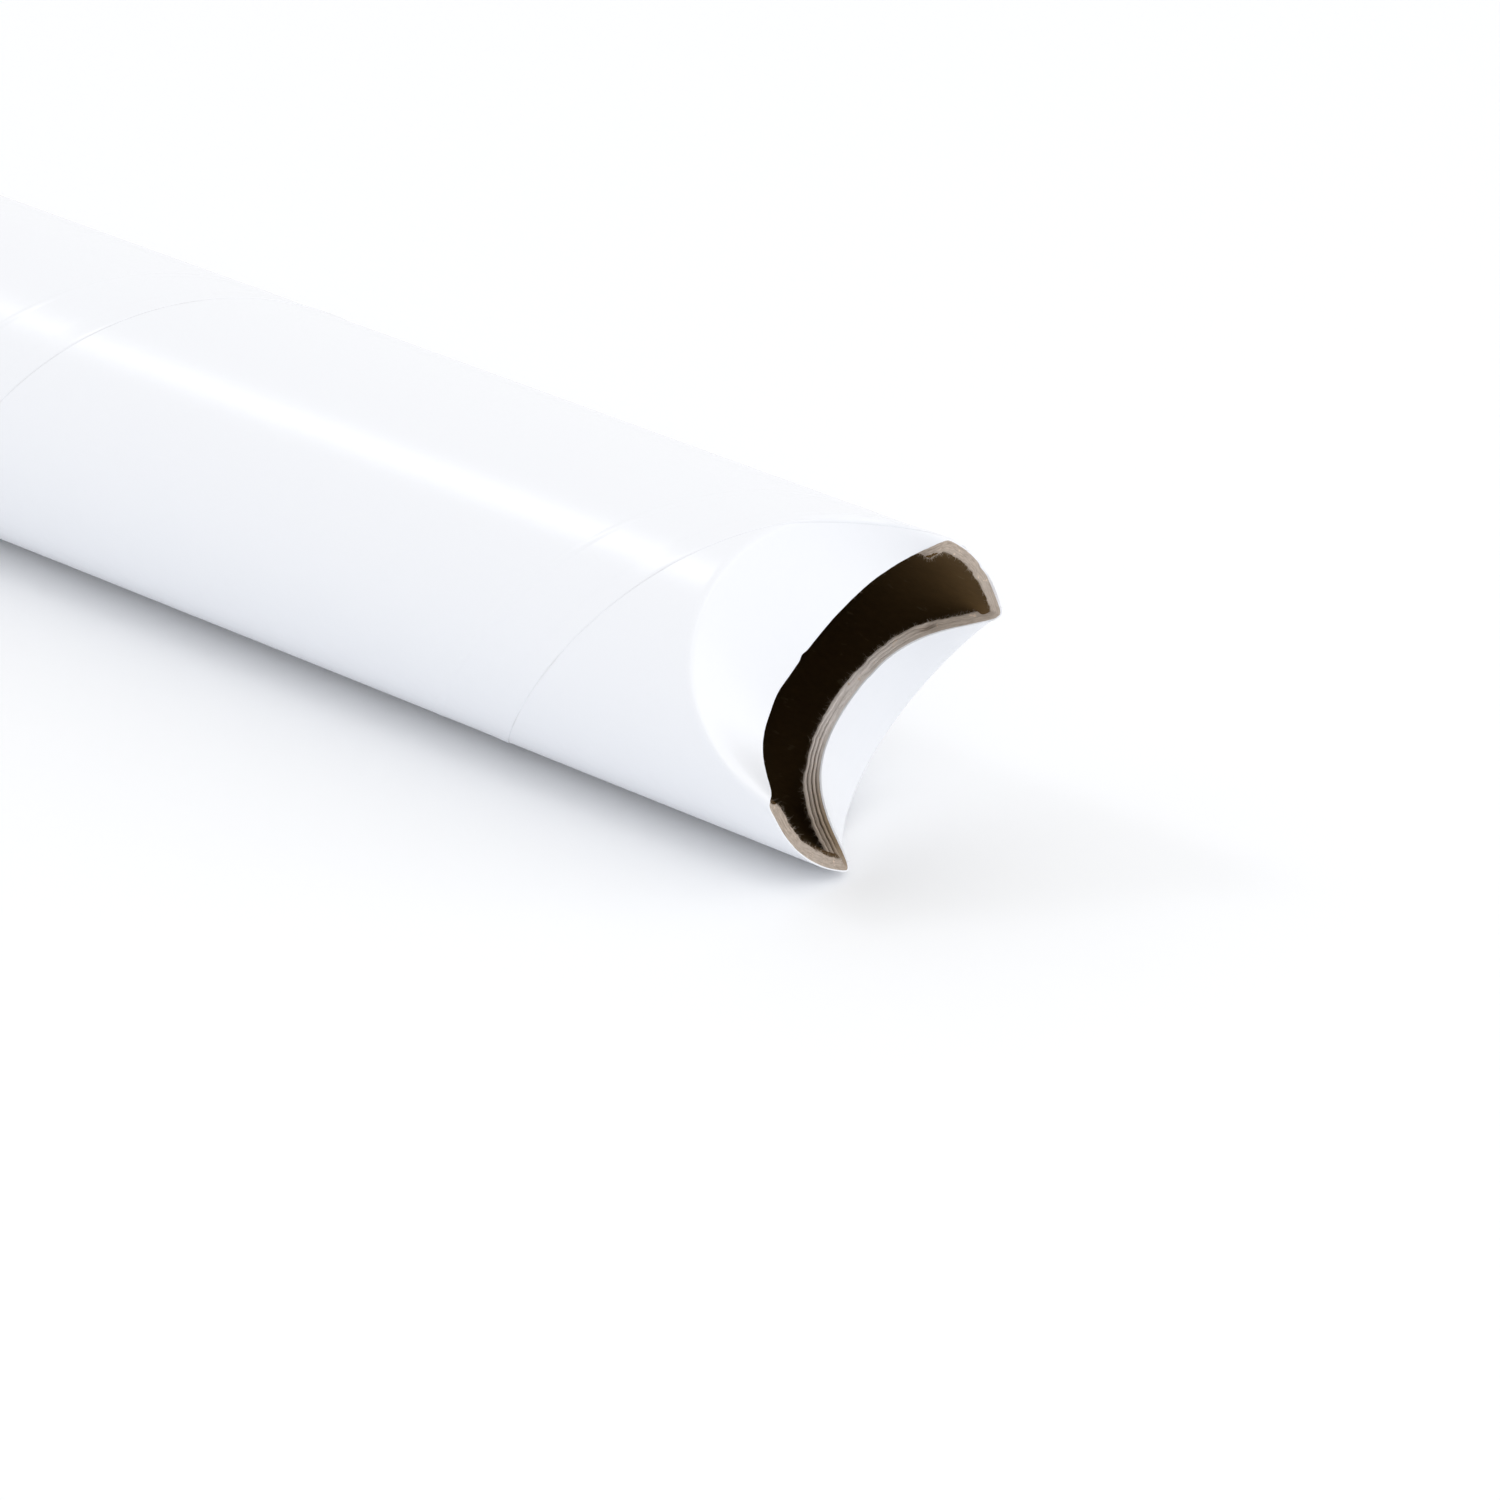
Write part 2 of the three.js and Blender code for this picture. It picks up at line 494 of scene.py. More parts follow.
def makeHelixBand(name, start, across, heights, material):
    # A thin band that follows the winding. across runs along the tube from the joint, and heights
    # gives how far each line of the band stands off the wall.
    pitch = winding["pitch"]
    turnsLow = math.floor((-halfLength - start) / pitch) - 1
    turnsHigh = math.ceil((halfLength - start) / pitch) + 1
    stepAngle = winding["step"] / tubeRadius
    psi = np.arange(turnsLow * 2 * math.pi, turnsHigh * 2 * math.pi, stepAngle)
    centre = start + pitch * psi / (2 * math.pi)
    reach = halfLength - winding["endGap"]
    keep = np.abs(centre) < reach + winding["pastEnd"]
    psi = psi[keep]
    centre = centre[keep]
    x = np.clip(centre[:, None] + across[None, :], -reach, reach)
    angle = np.broadcast_to(psi[:, None], x.shape)
    normal = faceNormal(x, angle, winding["normalReach"])
    points = outerFace(x, angle) + normal * heights[None, :, None]
    count = len(across)
    grid = np.arange(points.shape[0] * count).reshape(points.shape[0], count)
    quads = quadStrip(grid, wrap=False)
    uv = np.stack([angle * tubeRadius, x], -1).reshape(-1, 2)[quads]
    uvSets = {"sheet": uv, "cut": np.zeros_like(uv)}
    obj = meshFrom(name, points.reshape(-1, 3), quads, uvSets, np.zeros(len(quads)), [material])
    # The band is open below, so it is turned to face out
    facing = obj.data.polygons[len(quads) // 2]
    middle = Vector((facing.center.x, 0, tubeRadius))
    if facing.normal.dot(facing.center - middle) < 0:
        obj.data.flip_normals()
    smoothAngles(obj, winding["sharpAngle"])
    return obj


def makeLapBand(material):
    across, heights = np.array(lapSection).T
    return makeHelixBand("liner_lap", helixStart(winding["lapStart"]), across, heights, material)


def makeRidgeBand(material):
    lines = np.linspace(-1, 1, winding["ridgeLines"])
    heights = winding["ridgeHeight"] * (np.cos(lines * math.pi) + 1) / 2 - 0.00001
    across = lines * winding["ridgeWidth"] / 2
    return makeHelixBand("ply_ridge", helixStart(winding["ridgeStart"]), across, heights, material)


# Fibres pulled out of the board by the saw, most of them along the inner edge of the cut
fibres = {
    "count": 4200,
    "shortest": 0.00025,
    "longest": 0.0011,
    "thickness": 0.00002,
    "taper": 0.75,
    "curl": 0.55,
    "innerShare": 0.72,
    "innerSpread": 0.05,
    "innerFrom": 0.85,
    "outermost": 0.15,
    "outwards": 0.5,
    "sideways": 0.9,
    "rimStep": 0.0008,
    "segments": 3,
    "sides": 3,
    "seed": 5,
    "dark": (0.30, 0.23, 0.17, 1),
    "light": (0.60, 0.52, 0.43, 1),
    "roughness": 0.85,
}


def makeFibres(material):
    rng = np.random.default_rng(fibres["seed"])
    points, quads = [], []
    sides = fibres["sides"]
    made = 0
    for side in (1, -1):
        count = fibres["count"] // 2
        psi = rng.uniform(0, 2 * math.pi, count)
        atInnerEdge = rng.random(count) < fibres["innerShare"]
        innerEdge = 1 - np.abs(rng.normal(0, fibres["innerSpread"], count))
        elsewhere = rng.uniform(fibres["outermost"], 1, count)
        share = np.clip(np.where(atInnerEdge, innerEdge, elsewhere), linerShare, 1.0)
        root = cutSurface(side, psi, share)
        step = inwardStep(side * halfLength * np.ones(count), psi)
        atRim = np.full(count, side * halfLength)
        out = unit(outerFace(atRim, psi) - outerFace(atRim - side * fibres["rimStep"], psi))
        along = np.cross(out, step)
        length = rng.uniform(fibres["shortest"], fibres["longest"], count) * rng.uniform(0.5, 1, count)
        lean = rng.normal(0, 1, (count, 3))
        outwards = out * np.abs(lean[:, :1]) * fibres["outwards"]
        inwards = step * np.abs(lean[:, 1:2]) * (share[:, None] > fibres["innerFrom"])
        sideways = along * lean[:, 2:3] * fibres["sideways"]
        direction = unit(outwards + inwards + sideways)
        curl = rng.normal(0, fibres["curl"], (count, 3))
        across = unit(np.cross(direction, rng.normal(0, 1, (count, 3))))
        other = np.cross(direction, across)
        ringPoints = []
        for level in range(fibres["segments"] + 1):
            t = level / fibres["segments"]
            centre = root + (direction * t + curl * t * t * 0.5) * length[:, None]
            size = fibres["thickness"] * (1 - fibres["taper"] * t)
            ring = []
            for corner in range(sides):
                turn = 2 * math.pi * corner / sides
                ring.append(centre + (across * math.cos(turn) + other * math.sin(turn)) * size)
            ringPoints.append(np.stack(ring, 1))
        block = np.stack(ringPoints, 1)
        ids = made + np.arange(block.shape[0] * block.shape[1] * sides).reshape(block.shape[:3])
        follow = np.roll(ids, -1, axis=2)
        faces = np.stack([ids[:, :-1], follow[:, :-1], follow[:, 1:], ids[:, 1:]], -1)
        points.append(block.reshape(-1, 3))
        quads.append(faces.reshape(-1, 4))
        made += block.size // 3
    faces = np.concatenate(quads)
    uvSets = {"sheet": np.zeros((len(faces), 4, 2))}
    slots = np.zeros(len(faces))
    obj = meshFrom("cut_edge_fibres", np.concatenate(points), faces, uvSets, slots, [material])
    obj.data.shade_smooth()
    return obj


# Shader helpers: a node by type with its settings, and a link by the names or numbers of sockets
def addNode(tree, kind, at, **settings):
    node = tree.nodes.new(kind)
    node.location = at
    for key, value in settings.items():
        setattr(node, key, value)
    return node


def link(tree, fromNode, output, toNode, entry):
    tree.links.new(fromNode.outputs[output], toNode.inputs[entry])


def maths(tree, at, operation, first, second=None, clamp=False):
    node = addNode(tree, "ShaderNodeMath", at, operation=operation, use_clamp=clamp)
    for slot, value in enumerate((first, second)):
        if value is None:
            continue
        if isinstance(value, (int, float)):
            node.inputs[slot].default_value = value
        else:
            tree.links.new(value, node.inputs[slot])
    return node.outputs[0]


def newGroup(name, inputs, outputs):
    group = bpy.data.node_groups.new(name, "ShaderNodeTree")
    for label, kind, value in inputs:
        socket = group.interface.new_socket(name=label, in_out="INPUT", socket_type=kind)
        if value is not None:
            socket.default_value = value
    for label, kind in outputs:
        group.interface.new_socket(name=label, in_out="OUTPUT", socket_type=kind)
    entry = addNode(group, "NodeGroupInput", (-900, 0))
    leave = addNode(group, "NodeGroupOutput", (900, 0))
    return group, entry, leave


# Paper fibre: a fine mottle, a few flecks and a height, from coarse and fine noise
def buildFibreGroup():
    inputs = [
        ("Vector", "NodeSocketVector", None),
        ("Scale", "NodeSocketFloat", 1.0),
        ("Stretch", "NodeSocketVector", (1.0, 1.0, 1.0)),
    ]
    outputs = [
        ("Mottle", "NodeSocketFloat"),
        ("Fleck", "NodeSocketFloat"),
        ("Height", "NodeSocketFloat"),
    ]
    group, entry, leave = newGroup("paperFibre", inputs, outputs)
    stretch = addNode(group, "ShaderNodeVectorMath", (-700, 0), operation="MULTIPLY")
    link(group, entry, "Vector", stretch, 0)
    link(group, entry, "Stretch", stretch, 1)
    scaled = addNode(group, "ShaderNodeVectorMath", (-520, 0), operation="SCALE")
    link(group, stretch, 0, scaled, 0)
    link(group, entry, "Scale", scaled, "Scale")
    cloud = addNode(group, "ShaderNodeTexNoise", (-320, 240))
    cloud.inputs["Scale"].default_value = 60
    cloud.inputs["Detail"].default_value = 5
    cloud.inputs["Roughness"].default_value = 0.6
    link(group, scaled, 0, cloud, "Vector")
    fine = addNode(group, "ShaderNodeTexNoise", (-320, -40))
    fine.inputs["Scale"].default_value = 1400
    fine.inputs["Detail"].default_value = 4
    fine.inputs["Roughness"].default_value = 0.7
    link(group, scaled, 0, fine, "Vector")
    fleck = addNode(group, "ShaderNodeTexNoise", (-320, -320))
    fleck.inputs["Scale"].default_value = 700
    fleck.inputs["Detail"].default_value = 2
    link(group, scaled, 0, fleck, "Vector")
    fleckRange = addNode(group, "ShaderNodeMapRange", (-100, -320))
    fleckRange.inputs["From Min"].default_value = 0.66
    fleckRange.inputs["From Max"].default_value = 0.74
    link(group, fleck, "Fac", fleckRange, "Value")
    blend = maths(group, (80, 140), "MULTIPLY", cloud.outputs["Fac"], 0.6)
    share = maths(group, (80, -20), "MULTIPLY", fine.outputs["Fac"], 0.4)
    mottle = maths(group, (260, 100), "ADD", blend, share)
    group.links.new(mottle, leave.inputs["Mottle"])
    group.links.new(fleckRange.outputs[0], leave.inputs["Fleck"])
    link(group, fine, "Fac", leave, "Height")
    return group


# Winding joint: a thin line that follows a helix over the unrolled sheet
def buildJointGroup():
    inputs = [
        ("Sheet", "NodeSocketVector", None),
        ("Start", "NodeSocketFloat", 0.0),
        ("Pitch", "NodeSocketFloat", 0.14),
        ("Turn Length", "NodeSocketFloat", 0.172),
        ("Width", "NodeSocketFloat", 0.0003),
    ]
    outputs = [("Line", "NodeSocketFloat")]
    group, entry, leave = newGroup("windingJoint", inputs, outputs)
    split = addNode(group, "ShaderNodeSeparateXYZ", (-700, 120))
    link(group, entry, "Sheet", split, 0)
    turns = maths(group, (-520, 120), "DIVIDE", split.outputs[0], entry.outputs["Turn Length"])
    travel = maths(group, (-340, 120), "MULTIPLY", turns, entry.outputs["Pitch"])
    level = maths(group, (-340, -40), "SUBTRACT", split.outputs[1], entry.outputs["Start"])
    apart = maths(group, (-160, 40), "SUBTRACT", level, travel)
    shifted = maths(group, (0, 40), "DIVIDE", apart, entry.outputs["Pitch"])
    moved = maths(group, (120, 40), "ADD", shifted, 100.5)
    part = maths(group, (240, 40), "FRACT", moved)
    centred = maths(group, (360, 40), "SUBTRACT", part, 0.5)
    distance = maths(group, (480, 40), "MULTIPLY", centred, entry.outputs["Pitch"])
    size = maths(group, (600, 120), "ABSOLUTE", distance)
    ratio = maths(group, (600, -40), "DIVIDE", size, entry.outputs["Width"])
    line = maths(group, (740, 40), "SUBTRACT", 1.0, ratio, clamp=True)
    group.links.new(line, leave.inputs["Line"])
    return group


fibreGroup = buildFibreGroup()
jointGroup = buildJointGroup()


def startMaterial(name):
    material = bpy.data.materials.new(name)
    material.use_nodes = True
    tree = material.node_tree
    tree.nodes.clear()
    output = addNode(tree, "ShaderNodeOutputMaterial", (900, 0))
    shader = addNode(tree, "ShaderNodeBsdfPrincipled", (600, 0))
    link(tree, shader, "BSDF", output, "Surface")
    return material, tree, shader


def placeGroup(tree, group, at, **values):
    node = addNode(tree, "ShaderNodeGroup", at, node_tree=group)
    for key, value in values.items():
        node.inputs[key].default_value = value
    return node


def placeJoint(tree, start, width):
    joint = placeGroup(tree, jointGroup, (-640, -200), Start=start, Pitch=winding["pitch"], Width=width)
    joint.inputs["Turn Length"].default_value = circumference
    return joint


def mixColour(tree, at, factor, first, second):
    node = addNode(tree, "ShaderNodeMix", at, data_type="RGBA")
    # The colour kind of this node has its factor at 0 and its two colours at 6 and 7
    for slot, value in ((0, factor), (6, first), (7, second)):
        if isinstance(value, (int, float, tuple)):
            node.inputs[slot].default_value = value
        else:
            tree.links.new(value, node.inputs[slot])
    return node.outputs[2]


def bump(tree, at, height, strength, distance, normal=None):
    node = addNode(tree, "ShaderNodeBump", at)
    node.inputs["Strength"].default_value = strength
    node.inputs["Distance"].default_value = distance
    tree.links.new(height, node.inputs["Height"])
    if normal is not None:
        tree.links.new(normal, node.inputs["Normal"])
    return node.outputs[0]


# The white liner, lightly glazed. joint is the dark line along its lap: painted shade at the foot of
# the lap's step, and partly a glue line. Its share sets how dark that shows.
liner = {
    "white": (0.925, 0.93, 0.95, 1),
    "shade": (0.913, 0.92, 0.943, 1),
    "joint": (0.62, 0.60, 0.58, 1),
    "jointWidth": 0.00022,
    "lapShadeAndGlueShare": 0.3,
    "roughness": 0.27,
    "ior": 1.48,
    "grain": 0.02,
    "ripple": 0.3,
    "rippleScale": 260,
}


def makeLinerMaterial():
    material, tree, shader = startMaterial("whiteLiner")
    place = addNode(tree, "ShaderNodeTexCoord", (-900, 200))
    sheet = addNode(tree, "ShaderNodeUVMap", (-900, -200), uv_map="sheet")
    fibre = placeGroup(tree, fibreGroup, (-640, 200))
    link(tree, place, "Object", fibre, "Vector")
    joint = placeJoint(tree, helixStart(winding["lapStart"]), liner["jointWidth"])
    link(tree, sheet, "UV", joint, "Sheet")
    # The dark line of the joint, painted shade at the foot of the lap's step and partly a glue line, is
    # broken where the lap lies tight
    broken = addNode(tree, "ShaderNodeTexNoise", (-640, -480))
    broken.inputs["Scale"].default_value = 120
    link(tree, place, "Object", broken, "Vector")
    brokenRange = addNode(tree, "ShaderNodeMapRange", (-440, -480))
    brokenRange.inputs["From Min"].default_value = 0.42
    brokenRange.inputs["From Max"].default_value = 0.66
    link(tree, broken, "Fac", brokenRange, "Value")
    lapShadeAndGlueMask = maths(tree, (-240, -300), "MULTIPLY", joint.outputs["Line"], brokenRange.outputs[0])
    lapShadeAndGlueMask = maths(tree, (-100, -300), "MULTIPLY", lapShadeAndGlueMask, liner["lapShadeAndGlueShare"])
    paper = mixColour(tree, (-240, 200), fibre.outputs["Mottle"], liner["shade"], liner["white"])
    # The lap's dark line mixed over the paper: painted shade at the step's foot, partly a glue line
    colour = mixColour(tree, (40, 100), lapShadeAndGlueMask, paper, liner["joint"])
    tree.links.new(colour, shader.inputs["Base Color"])
    shader.inputs["Roughness"].default_value = liner["roughness"]
    shader.inputs["IOR"].default_value = liner["ior"]
    ripple = addNode(tree, "ShaderNodeTexNoise", (-640, -740))
    ripple.inputs["Scale"].default_value = liner["rippleScale"]
    ripple.inputs["Detail"].default_value = 2
    link(tree, place, "Object", ripple, "Vector")
    rippled = bump(tree, (100, -520), ripple.outputs["Fac"], liner["ripple"], 0.0001)
    grained = bump(tree, (320, -420), fibre.outputs["Height"], liner["grain"], 0.00006, rippled)
    tree.links.new(grained, shader.inputs["Normal"])
    return material


def aroundZone(tree, at, arc, middle, width):
    # One near an angle round the tube, falling to none a little beyond the width
    left, top = at
    apart = maths(tree, (left, top), "SUBTRACT", arc, math.radians(middle) * tubeRadius)
    apart = maths(tree, (left + 160, top), "ABSOLUTE", apart)
    apart = maths(tree, (left + 320, top), "DIVIDE", apart, math.radians(width) * tubeRadius)
    return maths(tree, (left + 480, top), "SUBTRACT", 1.2, apart, clamp=True)


# The bare board of the cut: streaks of pale and brown, greyed, with dark glue between the plies. The
# pale felt patch on the back flap's cut is partly where the saw has roughed it up and partly painted
# light where that cut is less lit, and stain is where glue has soaked into the outer plies.
cutBoard = {
    "pale": (0.70, 0.56, 0.44, 1),
    "brown": (0.23, 0.16, 0.105, 1),
    "grey": (0.44, 0.39, 0.345, 1),
    "feltAndPaintedLight": (0.88, 0.81, 0.76, 1),
    "glue": (0.085, 0.058, 0.034, 1),
    "stain": (0.30, 0.205, 0.105, 1),
    "stainAt": 181,
    "stainWidth": 20,
    "stainShare": 0.8,
    "feltAndLightShare": 0.85,
    "streakScale": 5200,
    "streakStretch": 0.12,
    "glueWidth": 0.13,
    "roughness": 0.9,
}


def makeCutMaterial():
    material, tree, shader = startMaterial("cutPaperboard")
    place = addNode(tree, "ShaderNodeTexCoord", (-1200, 300))
    cut = addNode(tree, "ShaderNodeUVMap", (-1200, -100), uv_map="cut")
    split = addNode(tree, "ShaderNodeSeparateXYZ", (-1020, -100))
    link(tree, cut, "UV", split, 0)
    # Streaks run along the cut: far longer round the rim than through the board
    lie = addNode(tree, "ShaderNodeCombineXYZ", (-820, -40))
    stretched = maths(tree, (-980, 60), "MULTIPLY", split.outputs[0], cutBoard["streakStretch"])
    depth = maths(tree, (-980, -220), "MULTIPLY", split.outputs[1], wall["thickness"])
    tree.links.new(stretched, lie.inputs[0])
    tree.links.new(depth, lie.inputs[1])
    streak = addNode(tree, "ShaderNodeTexNoise", (-620, -40))
    streak.inputs["Scale"].default_value = cutBoard["streakScale"]
    streak.inputs["Detail"].default_value = 5
    streak.inputs["Roughness"].default_value = 0.65
    link(tree, lie, 0, streak, "Vector")
    fibre = placeGroup(tree, fibreGroup, (-640, 320), Scale=1.6)
    link(tree, place, "Object", fibre, "Vector")
    # Dark lines where one ply is glued to the next, open in some places and closed in others
    scaled = maths(tree, (-820, -320), "SUBTRACT", split.outputs[1], linerShare)
    plies = maths(tree, (-680, -320), "MULTIPLY", scaled, plyCount / (1 - linerShare))
    nearest = maths(tree, (-540, -380), "ROUND", plies)
    apart = maths(tree, (-400, -320), "SUBTRACT", plies, nearest)
    size = maths(tree, (-260, -320), "ABSOLUTE", apart)
    line = maths(tree, (-120, -320), "DIVIDE", size, cutBoard["glueWidth"])
    line = maths(tree, (20, -320), "SUBTRACT", 1.0, line, clamp=True)
    openAt = addNode(tree, "ShaderNodeMapRange", (-400, -560))
    openAt.inputs["From Min"].default_value = 0.46
    openAt.inputs["From Max"].default_value = 0.8
    wander = addNode(tree, "ShaderNodeTexNoise", (-620, -560))
    wander.inputs["Scale"].default_value = 120
    wander.inputs["Detail"].default_value = 3
    link(tree, place, "Object", wander, "Vector")
    link(tree, wander, "Fac", openAt, "Value")
    arc = split.outputs[0]
    torn = aroundZone(tree, (-820, -760), arc, board["splitAt"], board["splitWidth"] * 1.3)
    opened = maths(tree, (-180, -640), "MAXIMUM", torn, openAt.outputs[0])
    glue = maths(tree, (160, -400), "MULTIPLY", line, opened)
    streakRange = addNode(tree, "ShaderNodeMapRange", (-440, 60))
    streakRange.inputs["From Min"].default_value = 0.3
    streakRange.inputs["From Max"].default_value = 0.68
    link(tree, streak, "Fac", streakRange, "Value")
    body = mixColour(tree, (-300, 60), streakRange.outputs[0], cutBoard["brown"], cutBoard["pale"])
    body = mixColour(tree, (-80, 120), fibre.outputs["Mottle"], body, cutBoard["grey"])
    # A paler patch on the back flap's cut: felted board, and painted light where that cut is less lit
    feltedAndLit = aroundZone(tree, (-820, -980), arc, board["feltAndLightAt"], board["feltAndLightWidth"])
    feltedAndLit = maths(tree, (0, 260), "MULTIPLY", feltedAndLit, cutBoard["feltAndLightShare"])
    body = mixColour(tree, (20, 200), feltedAndLit, body, cutBoard["feltAndPaintedLight"])
    body = mixColour(tree, (120, 60), fibre.outputs["Fleck"], body, cutBoard["pale"])
    # Glue has soaked into the outer plies where the board has split open
    soaked = aroundZone(tree, (-820, -1180), arc, cutBoard["stainAt"], cutBoard["stainWidth"])
    outer = maths(tree, (-300, -1100), "SUBTRACT", 1.15, split.outputs[1])
    outer = maths(tree, (-140, -1100), "POWER", outer, 2.0, clamp=True)
    soaked = maths(tree, (20, -1160), "MULTIPLY", soaked, outer)
    soaked = maths(tree, (160, -1160), "MULTIPLY", soaked, cutBoard["stainShare"])
    body = mixColour(tree, (230, 140), soaked, body, cutBoard["stain"])
    colour = mixColour(tree, (340, 60), glue, body, cutBoard["glue"])
    tree.links.new(colour, shader.inputs["Base Color"])
    shader.inputs["Roughness"].default_value = cutBoard["roughness"]
    streaked = bump(tree, (200, -160), streak.outputs["Fac"], 0.8, 0.00012)
    grained = bump(tree, (400, -200), fibre.outputs["Height"], 0.7, 0.0001, streaked)
    tree.links.new(grained, shader.inputs["Normal"])
    return material


# The brown lining of the bore. sheen is how much light it mirrors, and jointStart is where the joint
# in it crosses straight up.
kraft = {
    "light": (0.15, 0.088, 0.032, 1),
    "dark": (0.05, 0.028, 0.011, 1),
    "fleck": (0.14, 0.095, 0.048, 1),
    "joint": (0.05, 0.033, 0.02, 1),
    "roughness": 0.82,
    "sheen": 0.12,
    "jointStart": 0.052,
    "jointWidth": 0.0005,
}


def makeKraftMaterial():
    material, tree, shader = startMaterial("kraftBore")
    place = addNode(tree, "ShaderNodeTexCoord", (-900, 200))
    sheet = addNode(tree, "ShaderNodeUVMap", (-900, -200), uv_map="sheet")
    fibre = placeGroup(tree, fibreGroup, (-640, 200), Scale=0.8, Stretch=(0.5, 1.4, 1.4))
    link(tree, place, "Object", fibre, "Vector")
    joint = placeJoint(tree, kraft["jointStart"], kraft["jointWidth"])
    link(tree, sheet, "UV", joint, "Sheet")
    base = mixColour(tree, (-240, 200), fibre.outputs["Mottle"], kraft["dark"], kraft["light"])
    base = mixColour(tree, (-40, 140), fibre.outputs["Fleck"], base, kraft["fleck"])
    colour = mixColour(tree, (160, 80), joint.outputs["Line"], base, kraft["joint"])
    tree.links.new(colour, shader.inputs["Base Color"])
    shader.inputs["Roughness"].default_value = kraft["roughness"]
    shader.inputs["Specular IOR Level"].default_value = kraft["sheen"]
    grained = bump(tree, (320, -200), fibre.outputs["Height"], 0.5, 0.0001)
    tree.links.new(grained, shader.inputs["Normal"])
    return material


def makeFibreMaterial():
    material, tree, shader = startMaterial("pulledFibre")
    place = addNode(tree, "ShaderNodeTexCoord", (-600, 100))
    fibre = placeGroup(tree, fibreGroup, (-380, 100), Scale=0.6)
    link(tree, place, "Object", fibre, "Vector")
    mottle = fibre.outputs["Mottle"]
    colour = mixColour(tree, (-100, 100), mottle, fibres["dark"], fibres["light"])
    tree.links.new(colour, shader.inputs["Base Color"])
    shader.inputs["Roughness"].default_value = fibres["roughness"]
    return material


linerMaterial = makeLinerMaterial()
cutMaterial = makeCutMaterial()
kraftMaterial = makeKraftMaterial()
fibreMaterial = makeFibreMaterial()
print("stage: materials made")

tubeWall = makeTubeWall([linerMaterial, cutMaterial, kraftMaterial])
lapBand = makeLapBand(linerMaterial)
ridgeBand = makeRidgeBand(linerMaterial)
cutFibres = makeFibres(fibreMaterial)
for piece in (tubeWall, lapBand, ridgeBand, cutFibres):
    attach(piece, "root")
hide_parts("mailing_tube")
print("stage: tube made")

# The photographed view: a long lens, from above and to the right of the open end. It aims at a place
# that is given from the floor under the middle of that end.
view = {
    "azimuth": 44.9,
    "elevation": 23.1,
    "distance": 1.3984,
    "lens": 216,
    "sensor": 36,
    "aim": (-0.01298, -0.01696, 0.02075),
}
aim = Vector((halfLength, 0, 0)) + Vector(view["aim"])
azimuth = math.radians(view["azimuth"])
elevation = math.radians(view["elevation"])
level = math.cos(elevation)
toCamera = Vector((math.sin(azimuth) * level, -math.cos(azimuth) * level, math.sin(elevation)))
camera = bpy.data.objects.new("camera", bpy.data.cameras.new("camera"))
camera.data.lens = view["lens"]
camera.data.sensor_width = view["sensor"]
camera.data.clip_start = 0.01
camera.location = aim + toCamera * view["distance"]
camera.rotation_euler = (-toCamera).to_track_quat("-Z", "Y").to_euler()
bpy.context.scene.collection.objects.link(camera)
bpy.context.scene.camera = camera

# Studio: a white floor, an even white surround and three soft lamps. floorBounce is the floor's
# colour for the light that it throws back on the tube. streakAt is where round the wall the window
# lamp shows as one bright streak.
studio = {
    "floorSize": 24,
    "floor": (0.985, 0.987, 0.992, 1),
    "floorBounce": (0.90, 0.925, 0.965, 1),
    "floorRoughness": 0.9,
    "sky": (0.985, 0.99, 1.0, 1),
    "surround": 0.90,
    "streakAt": -40.6,
    "window": {"distance": 3.2, "size": 0.56, "power": 6.0},
    "fill": {"distance": 2.6, "size": 1.2, "power": 5.5},
    "endFill": {"distance": 2.6, "size": 2.0, "power": 7.5},
    "fillFrom": (0.68, -0.30, 0.67),
    "endFillFrom": (0.85, 0.5, 0.42),
}


def seenRays(tree, at):
    # One where the camera, a mirror or glass sees the backdrop, and none for plain bounced light
    left, top = at
    rays = addNode(tree, "ShaderNodeLightPath", at).outputs
    seen = maths(tree, (left + 180, top), "ADD", rays["Is Camera Ray"], rays["Is Glossy Ray"])
    return maths(tree, (left + 340, top), "ADD", seen, rays["Is Transmission Ray"], clamp=True)


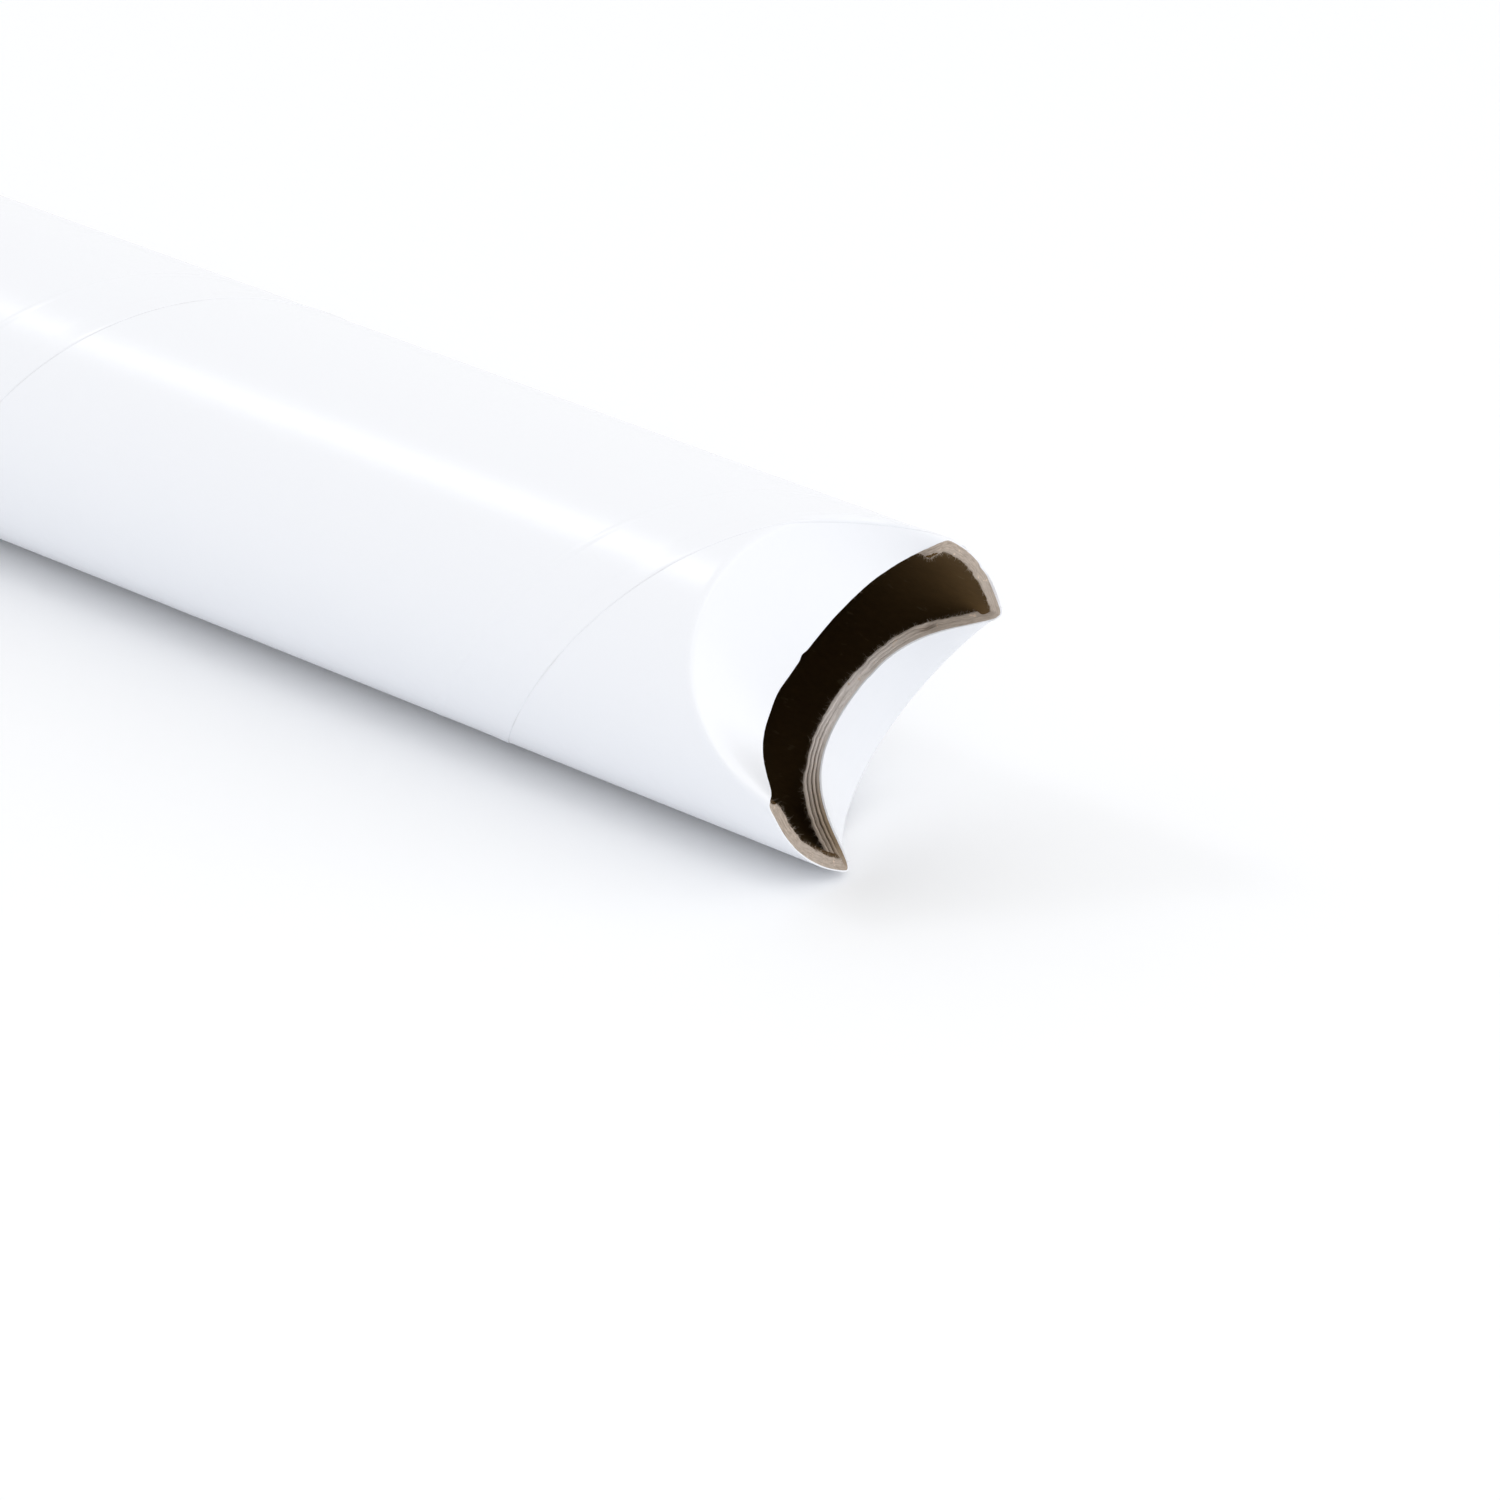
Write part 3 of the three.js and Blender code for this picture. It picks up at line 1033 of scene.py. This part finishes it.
def makeFloor():
    mesh = bpy.data.meshes.new("floor")
    half = studio["floorSize"] / 2
    corners = [(-half, -half, 0), (half, -half, 0), (half, half, 0), (-half, half, 0)]
    mesh.from_pydata(corners, [], [(0, 1, 2, 3)])
    floor = bpy.data.objects.new("floor", mesh)
    bpy.context.scene.collection.objects.link(floor)
    material, tree, shader = startMaterial("floorPaint")
    seen = seenRays(tree, (-200, 100))
    colour = mixColour(tree, (340, 60), seen, studio["floorBounce"], studio["floor"])
    tree.links.new(colour, shader.inputs["Base Color"])
    shader.inputs["Roughness"].default_value = studio["floorRoughness"]
    mesh.materials.append(material)


def makeSurround():
    world = bpy.data.worlds.new("surround")
    bpy.context.scene.world = world
    world.use_nodes = True
    tree = world.node_tree
    tree.nodes.clear()
    output = addNode(tree, "ShaderNodeOutputWorld", (600, 0))
    shown = addNode(tree, "ShaderNodeBackground", (200, 120))
    shown.inputs["Color"].default_value = (1, 1, 1, 1)
    lighting = addNode(tree, "ShaderNodeBackground", (200, -60))
    lighting.inputs["Color"].default_value = studio["sky"]
    lighting.inputs["Strength"].default_value = studio["surround"]
    pick = addNode(tree, "ShaderNodeMixShader", (420, 0))
    tree.links.new(seenRays(tree, (-200, 300)), pick.inputs[0])
    link(tree, lighting, 0, pick, 1)
    link(tree, shown, 0, pick, 2)
    link(tree, pick, 0, output, "Surface")


def makeLamp(name, direction):
    lamp = bpy.data.lights.new(name, "AREA")
    lamp.shape = "SQUARE"
    lamp.size = studio[name]["size"]
    lamp.energy = studio[name]["power"]
    obj = bpy.data.objects.new(name, lamp)
    pointing = Vector(direction).normalized()
    obj.location = Vector((0, 0, tubeRadius)) + pointing * studio[name]["distance"]
    obj.rotation_euler = pointing.to_track_quat("Z", "Y").to_euler()
    bpy.context.scene.collection.objects.link(obj)


makeFloor()
makeSurround()
# The window lamp is where the wall mirrors it towards the camera
streakAt = math.radians(studio["streakAt"])
streakNormal = Vector((0, math.sin(streakAt), math.cos(streakAt)))
makeLamp("window", 2 * streakNormal.dot(toCamera) * streakNormal - toCamera)
makeLamp("fill", studio["fillFrom"])
makeLamp("endFill", studio["endFillFrom"])

bpy.context.scene.view_settings.view_transform = "Standard"
print("stage: studio set")
